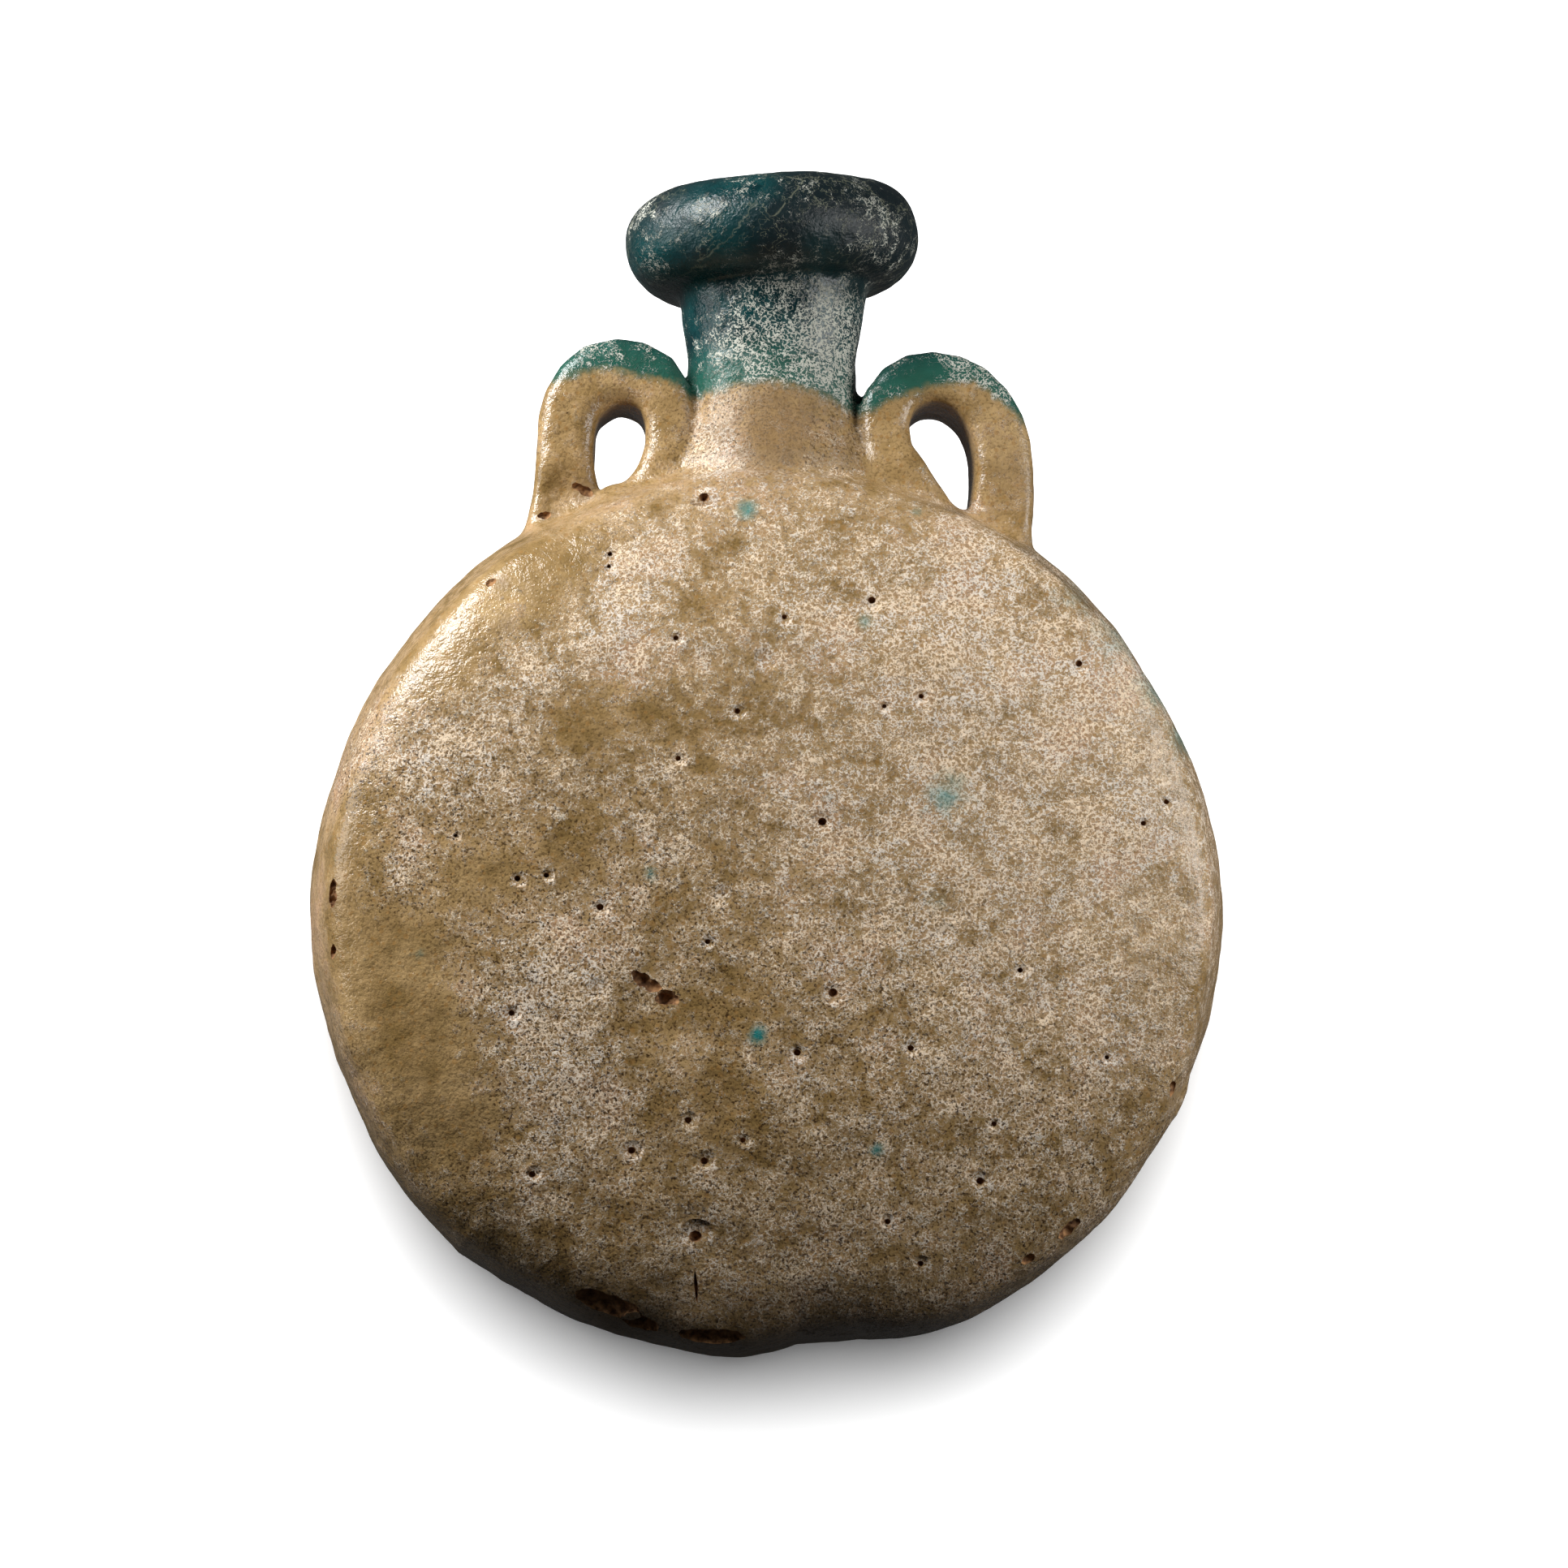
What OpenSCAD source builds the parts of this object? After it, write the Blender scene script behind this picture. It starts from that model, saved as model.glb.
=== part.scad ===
// Pilgrim flask of glazed earthenware, lying on its flat back, in millimetres.
// +Y runs towards the mouth, +Z out of the domed front, and +X to the right of the front.
// The origin is the centre of the flat back. Two thrown dishes are joined rim to rim round the
// girth, and a thrown neck, a rolled mouth ring and two strap handles are luted on.

/* [Body] */
// Diameter round the girth, where the two dishes meet
body_d = 180; // [150:1:240]
// Depth from the flat back to the crown of the front
body_depth = 72; // [60:1:90]
// How far the front face's edge lies inside the girth
edge_in = 6; // [2:0.5:12]
// Height of the crown above that edge
dome_rise = 6; // [2:0.5:10]
// How flat the front face is before it falls to the edge
dome_power = 3; // [2:0.5:4]
// Width of the rounding along the front edge
edge_round = 4; // [2:0.5:6]
// How far the edge of the flat back lies inside the girth
rest_in = 16; // [14:1:35]
// Height of the rounded corner round the back
back_corner = 8; // [4:1:12]
// Thickness of the clay wall of the body
wall = 6.5; // [4:0.5:8]

/* [Seam] */
// Depth of the groove that the luting coil fills
seam_depth = 3; // [1.5:0.5:3.5]
// Width of the luting coil along the outside
seam_w = 8; // [4:1:14]

/* [Neck] */
// Diameter of the neck at its waist
neck_waist_d = 33.8; // [31:0.2:44]
// Diameter of the neck's top end, under the ring
neck_top_d = 40.6; // [36:0.2:46]
// Height of the waist above the top of the girth
neck_waist_h = 22; // [16:1:34]
// Height of the neck's top end above the waist
neck_top_h = 21; // [12:1:30]
// How far the foot of the neck spreads over the shoulder, each side
neck_foot = 11; // [6:0.5:14]
// How late the foot starts to spread
foot_power = 3; // [2:0.5:4]
// Diameter of the mouth bore
bore_d = 22; // [14:0.5:22.5]
// Length of the straight bore, down from the neck's top end
bore_len = 38; // [24:1:40]
// Diameter of the throat, where the hole has widened into the body
throat_d = 24; // [22.5:0.5:28]
// Thickness of the spigot that goes through the body wall
spigot_wall = 3; // [2:0.5:4]
// How far the spigot stands proud inside the body
spigot_lip = 3.5; // [1:0.5:5]
// Sideways set of the neck from the body's middle
neck_x = 1; // [-3:0.5:3]

/* [Mouth ring] */
// Outside diameter of the ring
ring_d = 59; // [57:0.5:70]
// Thickness of the roll
ring_roll = 18; // [12:0.5:18.5]
// How far the middle of the roll stands above the neck's top end
ring_lift = 3.3; // [2:0.1:5]
// Lean of the ring, in degrees
ring_lean = 3.3; // [0:0.1:6]

/* [Handles] */
// Thickness of the strap, seen from the front
strap_t = 10; // [7:0.5:12]
// Depth of the strap, front to back
strap_depth = 22; // [14:1:28]
// How much thinner the legs and the outer arc are than the inner arc, on each side
strap_ease = 0.2; // [0.2:0.1:1]
// Roundness of the strap's section: 2 is an ellipse, and 4 is nearly a rectangle
strap_square = 2.6; // [2:0.1:4]
// Width of the eye under the left arch
eye_w_left = 10.6; // [8:0.2:16]
// Width of the eye under the right arch
eye_w_right = 13.6; // [8:0.2:16]
// How far the left eye's middle lies outside the top of its arch
skew_left = 0.5; // [0:0.1:3]
// How far the right eye's middle lies outside the top of its arch
skew_right = 2.4; // [0:0.1:3]
// Height of the left arch's top above the top of the girth
arch_top_left = 23.8; // [20:0.1:30]
// Height of the right arch's top above the top of the girth
arch_top_right = 22.8; // [20:0.1:30]
// How deep the left inner leg is pressed into the neck
press_left = 1.5; // [0.5:0.5:3]
// How deep the right inner leg is pressed into the neck
press_right = 1; // [0.5:0.5:3]
// Outward lean of the left outer leg, in degrees
out_lean_left = 6; // [0:1:15]
// Outward lean of the left inner leg, in degrees
in_lean_left = 1; // [0:1:10]
// Outward lean of the right outer leg, in degrees
out_lean_right = 8; // [0:1:20]
// Outward lean of the right inner leg, in degrees
in_lean_right = 12; // [0:1:15]

/* [Hidden] */
$fn = 72;
// Steps along a curved outline, and along a short rounding
curve_steps = 10;
round_steps = 5;
// Steps round the strap's section
strap_steps = 24;
// Least step along an outline where a rounding meets a curve
join_step = 1;

girth_r = body_d / 2;
edge_r = girth_r - edge_in;
rest_r = girth_r - rest_in;
mid_z = body_depth / 2;
edge_z = body_depth - dome_rise;
seam_half = seam_w / 2;
// The band is an arc from the girth to the edge of the front face
band_rise = edge_z - mid_z;
band_arc_r = (pow(band_rise, 2) + pow(edge_in, 2)) / (2 * edge_in);
band_centre = girth_r - band_arc_r;
neck_waist_y = girth_r + neck_waist_h;
neck_top_y = neck_waist_y + neck_top_h;
neck_waist_r = neck_waist_d / 2;
neck_top_r = neck_top_d / 2;
// The neck's foot is drawn from here, inside the body, and cut to the shoulder
foot_y = edge_r;
bore_r = bore_d / 2;
throat_r = throat_d / 2;
spigot_r = throat_r + spigot_wall;
spigot_y = girth_r - wall - spigot_lip;
// A place well inside the body, where legs end and holes start
deep_y = girth_r / 2;
// Turn of the spigot about its own axis, which keeps its start off the seam
spigot_turn = 45;
ring_roll_r = ring_roll / 2;
ring_centre_r = ring_d / 2 - ring_roll_r;
ring_y = neck_top_y + ring_lift;
// How far a leg or an outer arc runs on into the inner arc
strap_knit = 1;

// Radius of the band at height z, moved in by inset
function band_r(z, inset = 0) =
    band_centre + sqrt(pow(band_arc_r - inset, 2) - pow(z - mid_z, 2));

// Height of the front face at radius r, moved in by inset
function dome_z(r, inset = 0) =
    body_depth - inset - dome_rise * pow(r / edge_r, dome_power);

// A point on the bend from a to b that heads for c, at t from 0 to 1
function bend(a, c, b, t) = pow(1 - t, 2) * a + 2 * t * (1 - t) * c + pow(t, 2) * b;

// The band from height z0 to z1, moved in by inset
function band_points(z0, z1, inset = 0) = [
    for (i = [0:curve_steps])
        let (z = z0 + (z1 - z0) * i / curve_steps) [band_r(z, inset), z]
];

// The flat back and its rounded corner, up to the band
function back_points() = concat(
    [[0, 0]],
    [
        for (i = [0:round_steps])
            bend(
                [rest_r, 0],
                [band_r(back_corner), 0],
                [band_r(back_corner), back_corner],
                i / round_steps
            )
    ]
);

// The rounded edge of the front face, from the band to the face
function edge_points() = [
    for (i = [0:round_steps])
        bend(
            [band_r(edge_z - edge_round), edge_z - edge_round],
            [edge_r, edge_z],
            [edge_r - edge_round, dome_z(edge_r - edge_round)],
            i / round_steps
        )
];

// The front face from radius r0 to radius r1, moved in by inset
function dome_points(r0, r1, inset = 0) = [
    for (i = [0:curve_steps])
        let (r = r0 + (r1 - r0) * i / curve_steps) [r, dome_z(r, inset)]
];

// The whole outside of the body, without its seam groove
module body_form() {
    rotate_extrude()
        polygon(concat(
            back_points(),
            band_points(back_corner + join_step, mid_z),
            band_points(mid_z + join_step, edge_z - edge_round - join_step),
            edge_points(),
            dome_points(edge_r - edge_round - join_step, 0)
        ));
}

// The hole through the shoulder that the neck's spigot fills
module spigot_form(from_y, to_y) {
    translate([neck_x, from_y, mid_z])
        rotate([-90, 0, 0])
            rotate([0, 0, spigot_turn])
                cylinder(h = to_y - from_y, r = spigot_r);
}

// The hole from the body up through the neck and the ring: a widening throat, then the bore
module bore_form() {
    translate([neck_x, 0, mid_z])
        rotate([-90, 0, 0])
            rotate_extrude()
                polygon([
                    [0, deep_y],
                    [throat_r, deep_y],
                    [throat_r, spigot_y],
                    [bore_r, neck_top_y - bore_len],
                    [bore_r, ring_y + ring_d],
                    [0, ring_y + ring_d]
                ]);
}

// The outside of the neck, from inside the shoulder up to its top end
module neck_form() {
    translate([neck_x, 0, mid_z])
        rotate([-90, 0, 0])
            rotate_extrude()
                polygon(concat(
                    [[0, foot_y]],
                    [
                        for (i = [0:curve_steps])
                            let (s = 1 - i / curve_steps)
                                [
                                    neck_waist_r + neck_foot * pow(s, foot_power),
                                    neck_waist_y - s * (neck_waist_y - foot_y)
                                ]
                    ],
                    [[neck_top_r, neck_top_y], [0, neck_top_y]]
                ));
}

// The rounded section of a handle's strap, moved in by inset
module strap_section(inset = 0) {
    polygon([
        for (i = [0:strap_steps - 1])
            let (a = 360 * i / strap_steps, p = 2 / strap_square)
                [
                    (strap_t / 2 - inset) * sign(cos(a)) * pow(abs(cos(a)), p),
                    (strap_depth / 2 - inset) * sign(sin(a)) * pow(abs(sin(a)), p)
                ]
    ]);
}

// An arc of the strap about the point below its top, from angle a0 to angle a1
module strap_arc(radius, a0, a1, inset = 0) {
    translate([0, -radius, 0])
        rotate([0, 0, a0])
            rotate_extrude(angle = a1 - a0)
                translate([radius, 0])
                    strap_section(inset);
}

// A leg from the end of an arc down into the body: side is 1 for the outer leg, -1 for the inner
module strap_leg(side, radius, lean, inset) {
    translate([0, -radius, 0])
        rotate([0, 0, lean])
            translate([side * radius, strap_knit, 0])
                rotate([90, 0, 0])
                    linear_extrude(height = deep_y)
                        strap_section(inset);
}

// A strap bent over a tight inner arc and a wider outer arc, outer leg towards +X.
// reach is the distance from the body's middle line to the face that meets the neck.
module strap_loop(reach, top_y, eye_w, skew, out_lean, in_lean) {
    inner_r = (eye_w + strap_t) / 2 - skew;
    outer_r = inner_r + 2 * skew;
    knit_angle = 360 * strap_knit / (2 * PI * outer_r);
    translate([reach + strap_t / 2 + inner_r, top_y - strap_t / 2, mid_z]) {
        strap_arc(inner_r, 90, 180 + in_lean);
        strap_arc(outer_r, out_lean, 90 + knit_angle, strap_ease);
        strap_leg(1, outer_r, out_lean, 2 * strap_ease);
        strap_leg(-1, inner_r, in_lean, strap_ease);
    }
}

// The back dish, with its half of the groove and of the neck hole
module back_shell() {
    color("darkkhaki")
        difference() {
            rotate_extrude()
                polygon(concat(
                    back_points(),
                    band_points(back_corner + join_step, mid_z - seam_half),
                    [[girth_r - seam_depth, mid_z]],
                    band_points(mid_z, wall + back_corner, wall),
                    [[rest_r - wall / 2, wall], [0, wall]]
                ));
            spigot_form(deep_y, girth_r + wall);
        }
}

// The front dish, with the domed face
module front_shell() {
    color("tan")
        difference() {
            rotate_extrude()
                polygon(concat(
                    [[girth_r - seam_depth, mid_z]],
                    band_points(mid_z + seam_half, edge_z - edge_round - join_step),
                    edge_points(),
                    dome_points(edge_r - edge_round - join_step, 0),
                    dome_points(0, edge_r - wall, wall),
                    band_points(dome_z(edge_r - wall, wall) - wall / 2, mid_z, wall)
                ));
            spigot_form(deep_y, girth_r + wall);
        }
}

// The coil of clay pressed into the groove round the girth
module seam_coil() {
    color("sienna")
        difference() {
            rotate_extrude()
                polygon(concat(
                    [[girth_r - seam_depth, mid_z]],
                    band_points(mid_z - seam_half, mid_z + seam_half)
                ));
            spigot_form(deep_y, girth_r + wall);
        }
}

// The thrown neck: a foot that sits on the shoulder, and a spigot through the wall
module neck() {
    color("teal")
        difference() {
            union() {
                difference() {
                    neck_form();
                    body_form();
                }
                spigot_form(spigot_y, neck_waist_y);
            }
            bore_form();
        }
}

// The rolled ring, seated round and on the neck's top end
module mouth_ring() {
    color("darkslategray")
        difference() {
            translate([neck_x, ring_y, mid_z])
                rotate([0, 0, ring_lean])
                    rotate([-90, 0, 0])
                        rotate_extrude()
                            translate([ring_centre_r, 0])
                                circle(r = ring_roll_r);
            neck_form();
            bore_form();
        }
}

// The upright handle, on the left of the neck
module handle_left() {
    color("cadetblue")
        difference() {
            mirror([1, 0, 0])
                strap_loop(
                    neck_waist_r - press_left - neck_x,
                    girth_r + arch_top_left,
                    eye_w_left,
                    skew_left,
                    out_lean_left,
                    in_lean_left
                );
            body_form();
            neck_form();
        }
}

// The broader handle that leans outwards, on the right of the neck
module handle_right() {
    color("mediumaquamarine")
        difference() {
            strap_loop(
                neck_waist_r - press_right + neck_x,
                girth_r + arch_top_right,
                eye_w_right,
                skew_right,
                out_lean_right,
                in_lean_right
            );
            body_form();
            neck_form();
        }
}

back_shell();
front_shell();
seam_coil();
neck();
mouth_ring();
handle_left();
handle_right();
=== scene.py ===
# %% [markdown]
# # Pilgrim flask
# A pilgrim flask is a round, flattened travelling bottle of glazed earthenware. The potter throws two
# dishes, lutes them rim to rim with a coil of clay, sets a short neck with a rolled ring on the shoulder,
# and lays a strap handle on each side of it. The firing fuses them and one glaze covers them all.
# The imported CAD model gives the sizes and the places. Here each of its pieces gets the surface that
# hands, kiln and burial gave it.

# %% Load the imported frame
import math

import bpy
import numpy as np
from mathutils import Matrix, Vector


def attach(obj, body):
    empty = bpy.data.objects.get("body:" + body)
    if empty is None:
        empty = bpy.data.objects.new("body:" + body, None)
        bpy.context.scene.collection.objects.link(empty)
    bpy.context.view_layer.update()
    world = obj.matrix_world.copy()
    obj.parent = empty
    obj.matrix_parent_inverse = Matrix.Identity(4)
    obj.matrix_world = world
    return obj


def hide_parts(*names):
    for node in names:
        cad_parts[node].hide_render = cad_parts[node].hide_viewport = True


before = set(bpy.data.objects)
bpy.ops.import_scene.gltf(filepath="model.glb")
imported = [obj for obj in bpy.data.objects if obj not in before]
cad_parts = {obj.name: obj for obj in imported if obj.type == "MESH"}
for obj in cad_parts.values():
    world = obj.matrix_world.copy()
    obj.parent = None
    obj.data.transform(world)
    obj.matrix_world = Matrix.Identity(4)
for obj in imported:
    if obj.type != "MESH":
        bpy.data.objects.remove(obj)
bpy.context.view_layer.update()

print("CAD nodes:", sorted(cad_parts))

# %% [markdown]
# ## Working habits
# Blender works in metres, but a potter's sizes are easier to read in millimetres, so every size below is
# in millimetres and is multiplied by MM. An operator acts on all that is selected, so each step first
# leaves one piece alone in the selection.

# %% Selecting, editing and finishing one piece
MM = 0.001


def only(piece):
    bpy.ops.object.select_all(action="DESELECT")
    piece.select_set(True)
    bpy.context.view_layer.objects.active = piece
    return piece


def named(name):
    piece = bpy.context.object
    piece.name = name
    piece.data.name = name
    return piece


def finish_modifier(piece, kind, **settings):
    only(piece)
    modifier = piece.modifiers.new(kind.lower(), kind)
    for key, value in settings.items():
        setattr(modifier, key, value)
    bpy.ops.object.modifier_apply(modifier=modifier.name)
    return piece


def copy_of(piece, name):
    twin = piece.copy()
    twin.data = piece.data.copy()
    bpy.context.collection.objects.link(twin)
    twin.name = name
    twin.data.name = name
    return twin


# %% Reading and moving the points of a piece
def points_mm(piece, what="co"):
    points = np.empty(len(piece.data.vertices) * 3, np.float32)
    piece.data.vertices.foreach_get(what, points)
    return points.reshape(-1, 3).astype(float) / (MM if what == "co" else 1)


def set_points_mm(piece, points):
    piece.data.vertices.foreach_set("co", (points * MM).astype(np.float32).ravel())
    piece.data.update()


def smooth_step(low, high, value):
    t = np.clip((value - low) / (high - low), 0, 1)
    return t * t * (3 - 2 * t)


# %% [markdown]
# ## The two dishes, as one thrown form
# The body is a shape of revolution: a flat back that the flask lies on, a swelling band round the girth,
# a crisp shoulder and a gently domed face. It could be spun from a drawn profile. Growing it ring by ring
# from a disc is closer to how it was thrown, and each ring's radius and height can be read off.

# %% Grow a turned form ring by ring
GIRTH_Z = 36


def turned_form(name, rings, place, axis, corners=96):
    turn = (-math.pi / 2, 0, 0) if axis == "Y" else (0, 0, 0)
    first_r, first_h = rings[0]
    up = Vector((0, 1, 0)) if axis == "Y" else Vector((0, 0, 1))
    centre = Vector(place) * MM + up * first_h * MM
    bpy.ops.object.select_all(action="DESELECT")
    bpy.ops.mesh.primitive_circle_add(
        vertices=corners, radius=first_r * MM, fill_type="NGON", location=centre, rotation=turn
    )
    form = named(name)
    bpy.ops.object.transform_apply(location=True, rotation=True, scale=True)
    bpy.ops.object.mode_set(mode="EDIT")
    bpy.ops.mesh.select_all(action="SELECT")
    for (r0, h0), (r1, h1) in zip(rings, rings[1:]):
        bpy.ops.mesh.extrude_region_move(TRANSFORM_OT_translate={"value": up * (h1 - h0) * MM})
        centre = centre + up * (h1 - h0) * MM
        k = r1 / r0
        value = (k, 1, k) if axis == "Y" else (k, k, 1)
        bpy.ops.transform.resize(value=value, center_override=centre)
    bpy.ops.mesh.select_all(action="SELECT")
    bpy.ops.mesh.normals_make_consistent(inside=False)
    bpy.ops.object.mode_set(mode="OBJECT")
    print(name, "has", len(form.data.polygons), "faces")
    return form


# %% The body's outer form
BODY_RINGS = [
    (74, 0), (80.5, 1.6), (83.6, 4.6), (84.8, 8), (87.4, 16), (89.1, 24), (90, 36), (89.1, 48),
    (87.4, 56), (85.6, 62), (84.7, 64.4), (82.9, 66.1), (80, 66.9), (70, 68.5), (60, 69.8),
    (45, 71.1), (25, 71.8), (6, 72),
]
body = turned_form("body_form", BODY_RINGS, (0, 0, 0), "Z", corners=144)

# %% [markdown]
# ## The hollow
# The wall is about 6.5 mm thick. The hollow is grown the same way, with the mouth bore and its wider
# throat, and is cut out once the outside is finished, so that no glaze wave can break through the wall.

# %% Hollow and bore, kept aside as cutters
NECK_X = 1
HOLLOW_RINGS = [
    (70.7, 6.5), (77.5, 9), (80.2, 14.5), (82.5, 24), (83.5, 36), (82.5, 48), (80.5, 56.5),
    (77.5, 60.8), (65, 62.7), (45, 64.6), (20, 65.4), (6, 65.5),
]
BORE_RINGS = [(12, 40), (12, 80), (11, 95), (11, 137), (12.2, 141), (14.5, 144.5), (20, 149)]
hollow = turned_form("hollow_cutter", HOLLOW_RINGS, (0, 0, 0), "Z")
bore = turned_form("bore_cutter", BORE_RINGS, (NECK_X, 0, GIRTH_Z), "Y", corners=64)

# %% [markdown]
# ## The neck and its ring
# The neck is a small thrown tube: a foot that spreads over the shoulder, a waist, and a slight flare up to
# the mouth. The ring round the mouth is a thick roll of clay, pressed on by hand, so it leans a few
# degrees and is fatter on its left.

# %% Grow the neck
NECK_RINGS = [
    (27.4, 76), (25.6, 84), (23, 88), (20.7, 92), (18.9, 96), (17.8, 100), (17.1, 105),
    (16.9, 112), (18.1, 119), (19.2, 126), (20.3, 133), (19.5, 136),
]
neck = turned_form("neck_form", NECK_RINGS, (NECK_X, 0, GIRTH_Z), "Y", corners=72)

# %% Roll the mouth ring
RING_Y = 136.8
RING_LEAN = math.radians(3.3)
bpy.ops.object.select_all(action="DESELECT")
bpy.ops.mesh.primitive_torus_add(
    major_radius=20.6 * MM, minor_radius=9.1 * MM, major_segments=96, minor_segments=32,
    location=(NECK_X * MM, RING_Y * MM, GIRTH_Z * MM), rotation=(-math.pi / 2, 0, RING_LEAN),
)
ring = named("ring_form")
bpy.ops.object.transform_apply(location=True, rotation=True, scale=True)
bpy.ops.object.mode_set(mode="EDIT")
bpy.ops.mesh.select_all(action="SELECT")
bpy.ops.transform.resize(value=(1, 1.07, 1), center_override=Vector((NECK_X, RING_Y, GIRTH_Z)) * MM)
bpy.ops.object.mode_set(mode="OBJECT")
print("ring width in mm:", round(np.ptp(points_mm(ring)[:, 0]), 1))

# %% [markdown]
# ## The strap handles
# Each handle is one flat strap of clay, bent over into an arch with its feet pressed into the shoulder.
# It could be a curve with a bevel, but a rounded slab that is extruded, turned and widened step by step
# follows the hand: both feet swell where the thumb pressed them on, and the arch stays even.

# %% Bend one strap along a path of (x, y, thickness, depth) stations


def bent_strap(name, path):
    start = Vector((path[0][0], path[0][1], GIRTH_Z)) * MM
    bpy.ops.object.select_all(action="DESELECT")
    bpy.ops.mesh.primitive_plane_add(size=1, location=start, rotation=(-math.pi / 2, 0, 0))
    strap = named(name)
    strap.scale = (path[0][2] * MM, path[0][3] * MM, 1)
    bpy.ops.object.transform_apply(location=True, rotation=True, scale=True)
    bpy.ops.object.mode_set(mode="EDIT")
    bpy.ops.mesh.select_all(action="SELECT")
    bpy.ops.mesh.bevel(offset=5.2 * MM, segments=5, profile=0.5, affect="VERTICES")
    bpy.ops.mesh.select_all(action="SELECT")
    heading = math.pi / 2
    for i in range(1, len(path)):
        x0, y0, thick0, deep0 = path[i - 1]
        x1, y1, thick1, deep1 = path[i]
        x2, y2 = path[min(i + 1, len(path) - 1)][:2]
        new_heading = math.atan2(y2 - y0, x2 - x0)
        here = Vector((x1, y1, GIRTH_Z)) * MM
        bpy.ops.mesh.extrude_region_move(
            TRANSFORM_OT_translate={"value": Vector((x1 - x0, y1 - y0, 0)) * MM}
        )
        bpy.ops.transform.rotate(value=heading - new_heading, orient_axis="Z", center_override=here)
        k = thick1 / thick0
        bpy.ops.transform.resize(value=(k, k, deep1 / deep0), center_override=here)
        heading = new_heading
    bpy.ops.mesh.select_all(action="SELECT")
    bpy.ops.mesh.normals_make_consistent(inside=False)
    bpy.ops.object.mode_set(mode="OBJECT")
    print(name, "box in mm:", points_mm(strap).min(0).round(1), points_mm(strap).max(0).round(1))
    return strap


# %% Bend both straps
LEFT_PATH = [
    (-21, 75, 17, 38), (-21.2, 80, 17, 36), (-20.8, 84.5, 14.6, 32), (-19.9, 89, 11.6, 27),
    (-19.4, 93.5, 10.2, 24), (-19.5, 98.5, 10.2, 23), (-20.6, 103, 11, 23), (-23.2, 106.4, 12.5, 23),
    (-26.5, 108.1, 12.8, 23), (-30, 108.5, 12.8, 23), (-33.6, 107.6, 12.8, 23), (-37, 105, 12.5, 23),
    (-39.2, 101.8, 11.5, 23), (-40.2, 97.5, 11.2, 23), (-40.5, 92, 11.4, 24), (-40.6, 86.5, 12.4, 27),
    (-40.9, 80, 13.6, 30), (-41.8, 71, 13.6, 25),
]
RIGHT_PATH = [
    (26.5, 75, 19, 38), (26.8, 81, 19, 36), (25.4, 87, 13.4, 31), (23.8, 92.5, 10, 26), (23.3, 98, 10.2, 23),
    (24.2, 102.3, 10.6, 23), (26.4, 105.2, 10.6, 23), (29.5, 107, 10.6, 23), (33.2, 107.7, 10.6, 23),
    (37.2, 107, 10.6, 23), (40.8, 105, 10.8, 23), (43.8, 101.9, 11.2, 23), (45.9, 98, 11.6, 23),
    (47.1, 93.2, 11.8, 23), (47.6, 87.2, 12, 24), (47, 80.5, 12.6, 28), (45.8, 69.5, 12.6, 24),
]
strap_left = bent_strap("strap_left_form", LEFT_PATH)
strap_right = bent_strap("strap_right_form", RIGHT_PATH)

# %% [markdown]
# ## One fused blank
# On the real flask, wet slip runs into every join and the potter's finger smooths it, so no join is
# sharp. Bevels can't follow such freely crossing forms. A voxel remesh can: it melts the overlapping
# forms into one skin, and then only the joins are smoothed. The pieces are parted again at the end.

# %% Melt the forms together
VOXEL = 0.8
only(body)
for form in (neck, ring, strap_left, strap_right):
    form.select_set(True)
bpy.ops.object.join()
blank = named("blank")
finish_modifier(blank, "REMESH", mode="VOXEL", voxel_size=VOXEL * MM, adaptivity=0)
print("blank has", len(blank.data.polygons), "faces")


# %% [markdown]
# ## Smoothing the joins
# A vertex group holds how much each point may move: fully at the handles' feet, less at the foot of the
# neck, and little under the ring, where the photograph shows a clear edge. A second group spares the back,
# which has to stay flat because the flask lies on it.

# %% Weigh points by place
def weigh(piece, name, weights):
    group = piece.vertex_groups.new(name=name)
    steps = 16
    level = np.round(np.clip(weights, 0, 1) * steps).astype(int)
    for step in range(1, steps + 1):
        group.add(np.nonzero(level == step)[0].tolist(), step / steps, "REPLACE")
    return group


def near(points, places):
    best = np.zeros(len(points))
    for x, y, z, reach, amount in places:
        away = np.sqrt(((points - (x, y, z)) ** 2).sum(1)) / reach
        best = np.maximum(best, amount * (1 - smooth_step(0.5, 1, away)))
    return best


JOINS = [
    (-19, 88, 36, 15, 0.7), (-43, 80, 36, 19, 1), (-31, 86, 36, 13, 0.6), (23, 87, 36, 15, 0.7),
    (50, 75, 36, 20, 1), (36, 82, 36, 14, 0.6), (1, 86, 60, 26, 1), (1, 85, 10, 24, 1),
    (-22, 82, 58, 18, 1), (27, 80, 58, 18, 1), (-42, 74, 55, 14, 0.8), (46, 72, 55, 14, 0.8),
    (-52, 73, 36, 14, 1), (56, 70, 36, 14, 1),
]
spots = points_mm(blank)
from_axis = np.hypot(spots[:, 0] - NECK_X, spots[:, 2] - GIRTH_Z)
under_ring = 0.55 * np.exp(-((spots[:, 1] - 127) / 3) ** 2) * (from_axis > 17)
round_rim = np.hypot(spots[:, 0], spots[:, 1]) > 76
softness = 0.12 + 0.7 * smooth_step(0, 60, -spots[:, 1]) + 0.4 * smooth_step(30, 70, spots[:, 1] - spots[:, 0])
round_rim = round_rim * smooth_step(52, 58, spots[:, 2]) * softness
weigh(blank, "joins", np.maximum(np.maximum(near(spots, JOINS), under_ring), round_rim))
weigh(blank, "off_the_rest", smooth_step(0.3, 7, spots[:, 2]))
finish_modifier(blank, "SMOOTH", factor=0.6, iterations=36, vertex_group="joins")
finish_modifier(blank, "SMOOTH", factor=0.5, iterations=3, vertex_group="off_the_rest")

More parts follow.
